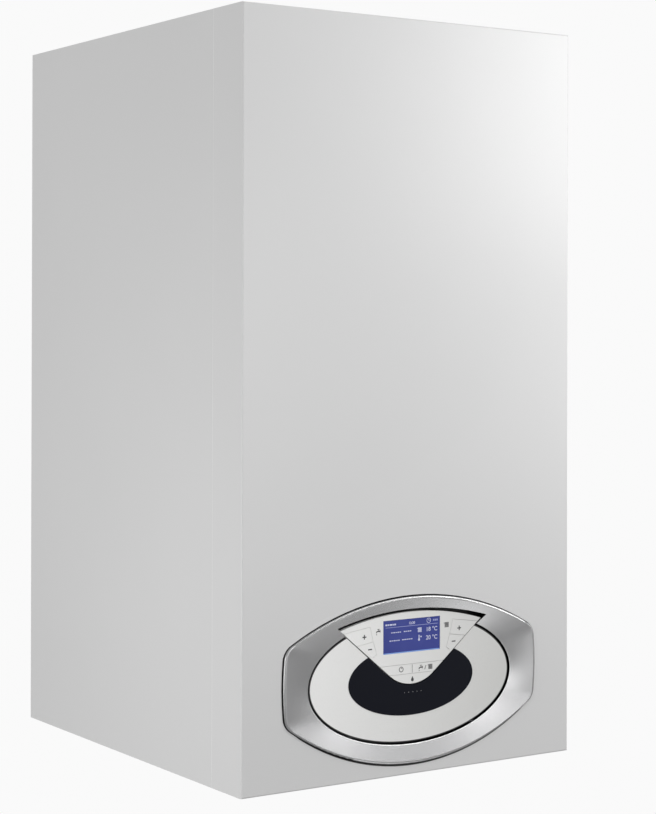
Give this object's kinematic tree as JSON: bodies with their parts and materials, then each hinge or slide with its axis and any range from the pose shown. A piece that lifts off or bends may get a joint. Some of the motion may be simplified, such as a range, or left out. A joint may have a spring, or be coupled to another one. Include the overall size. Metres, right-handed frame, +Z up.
{
  "type": "gas boiler",
  "caption": "Tall wall-hung gas boiler with a folded sheet casing, pull-off front cover and an oval control panel with keypad, display and drop-down flap; pipe stubs below, flue collar on top.",
  "frame": {"origin": "on the wall plane, at the middle of the casing's lower edge", "axes": "+X to the right seen from the front, +Y towards the wall, +Z up"},
  "size_m": [0.48, 0.553, 0.952],
  "materials": {
    "casing_paint": "fine satin powder coat",
    "galvanised_steel": "galvanised sheet",
    "foam": "grey foam mat",
    "bright_steel": "bright zinc",
    "black_steel": "blackened steel",
    "silver_plastic": "metallic silver lacquer",
    "white_plastic": "off-white satin moulding",
    "keypad_plastic": "off-white satin moulding",
    "dark_lens": "glossy blue-black",
    "display_glass": "blue tinted pane",
    "dark_plastic": "black moulding",
    "grey_plastic": "grey moulding",
    "circuit_board": "green board",
    "stainless_steel": "brushed stainless",
    "cast_aluminium": "sand cast",
    "black_paint": "satin black",
    "cast_iron": "painted casting",
    "copper": "drawn copper",
    "brass": "turned brass",
    "red_plastic": "red moulding",
    "rubber": "black rubber",
    "ceramic": "glazed sleeve"
  },
  "bodies": {
    "chassis": {"air_vent": "brass", "bezel": "silver_plastic", "bottom_plate": "galvanised_steel", "burner_door": "cast_aluminium", "burner_tube": "stainless_steel", "cable_gland": "dark_plastic", "condensate_hose": "rubber", "condensate_trap": "grey_plastic", "control_box": "dark_plastic", "control_brackets": "galvanised_steel", "cover_screws": "bright_steel", "display_module": "dark_plastic", "display_window": "display_glass", "door_gasket": "rubber", "door_nuts": "bright_steel", "exchanger_brackets": "galvanised_steel", "fan_housing": "cast_aluminium", "fan_motor": "black_paint", "flow_pipe": "copper", "flue_collar": "stainless_steel", "flue_pipe": "stainless_steel", "gas_pipe": "copper", "gas_valve": "dark_plastic", "hanging_hooks": "galvanised_steel", "heat_exchanger": "stainless_steel", "ignition_electrodes": "ceramic", "ignition_transformer": "dark_plastic", "keypad_plate": "keypad_plastic", "main_board": "circuit_board", "mixer_elbow": "cast_aluminium", "pump_body": "cast_iron", "pump_motor": "black_paint", "rear_frame": "galvanised_steel", "return_pipe": "copper", "safety_valve": "brass", "service_panel": "dark_plastic", "side_panel_left": "casing_paint", "side_panel_right": "casing_paint", "top_panel": "casing_paint", "venturi": "cast_aluminium", "wall_bracket": "galvanised_steel"},
    "front_cover": {"front_cover": "casing_paint", "cover_insulation": "foam"},
    "flap": {"flap": "white_plastic", "flap_lens": "dark_lens", "flap_pins": "black_steel"},
    "key_water_up": {"key_water_up": "keypad_plastic"},
    "key_water_down": {"key_water_down": "keypad_plastic"},
    "key_heat_up": {"key_heat_up": "keypad_plastic"},
    "key_heat_down": {"key_heat_down": "keypad_plastic"},
    "key_power": {"key_power": "keypad_plastic"},
    "key_mode": {"key_mode": "keypad_plastic"},
    "key_back": {"key_back": "grey_plastic"},
    "key_reset": {"key_reset": "grey_plastic"},
    "menu_knob": {"menu_knob": "grey_plastic"},
    "fan_impeller": {"fan_impeller": "grey_plastic"},
    "safety_valve_knob": {"safety_valve_knob": "red_plastic"}
  },
  "joints": [
    {"name": "cover_slide", "type": "slide", "parent": "chassis", "child": "front_cover", "axis": [0, -1, 0], "range_m": [0, 0.25]},
    {"name": "flap_hinge", "type": "hinge", "parent": "chassis", "child": "flap", "pos_m": [0, -0.5452, 0.0525], "axis": [1, 0, 0], "range_deg": [0, 70]},
    {"name": "key_water_up_press", "type": "slide", "parent": "chassis", "child": "key_water_up", "axis": [0, 1, 0], "range_m": [0, 0.0012], "stiffness_N_per_m": 300},
    {"name": "key_water_down_press", "type": "slide", "parent": "chassis", "child": "key_water_down", "axis": [0, 1, 0], "range_m": [0, 0.0012], "stiffness_N_per_m": 300},
    {"name": "key_heat_up_press", "type": "slide", "parent": "chassis", "child": "key_heat_up", "axis": [0, 1, 0], "range_m": [0, 0.0012], "stiffness_N_per_m": 300},
    {"name": "key_heat_down_press", "type": "slide", "parent": "chassis", "child": "key_heat_down", "axis": [0, 1, 0], "range_m": [0, 0.0012], "stiffness_N_per_m": 300},
    {"name": "key_power_press", "type": "slide", "parent": "chassis", "child": "key_power", "axis": [0, 1, 0], "range_m": [0, 0.0012], "stiffness_N_per_m": 300},
    {"name": "key_mode_press", "type": "slide", "parent": "chassis", "child": "key_mode", "axis": [0, 1, 0], "range_m": [0, 0.0012], "stiffness_N_per_m": 300},
    {"name": "key_back_press", "type": "slide", "parent": "chassis", "child": "key_back", "axis": [0, 1, 0], "range_m": [0, 0.0015], "stiffness_N_per_m": 300},
    {"name": "key_reset_press", "type": "slide", "parent": "chassis", "child": "key_reset", "axis": [0, 1, 0], "range_m": [0, 0.0015], "stiffness_N_per_m": 300},
    {"name": "menu_knob_turn", "type": "hinge", "parent": "chassis", "child": "menu_knob", "pos_m": [0, -0.53, 0.0765], "axis": [0, 1, 0], "continuous": true},
    {"name": "fan_spin", "type": "hinge", "parent": "chassis", "child": "fan_impeller", "pos_m": [0.05, -0.49, 0.375], "axis": [0, 1, 0], "continuous": true},
    {"name": "safety_knob_turn", "type": "hinge", "parent": "chassis", "child": "safety_valve_knob", "pos_m": [-0.17, -0.308, 0.3], "axis": [0, -1, 0], "range_deg": [0, 90]}
  ]
}
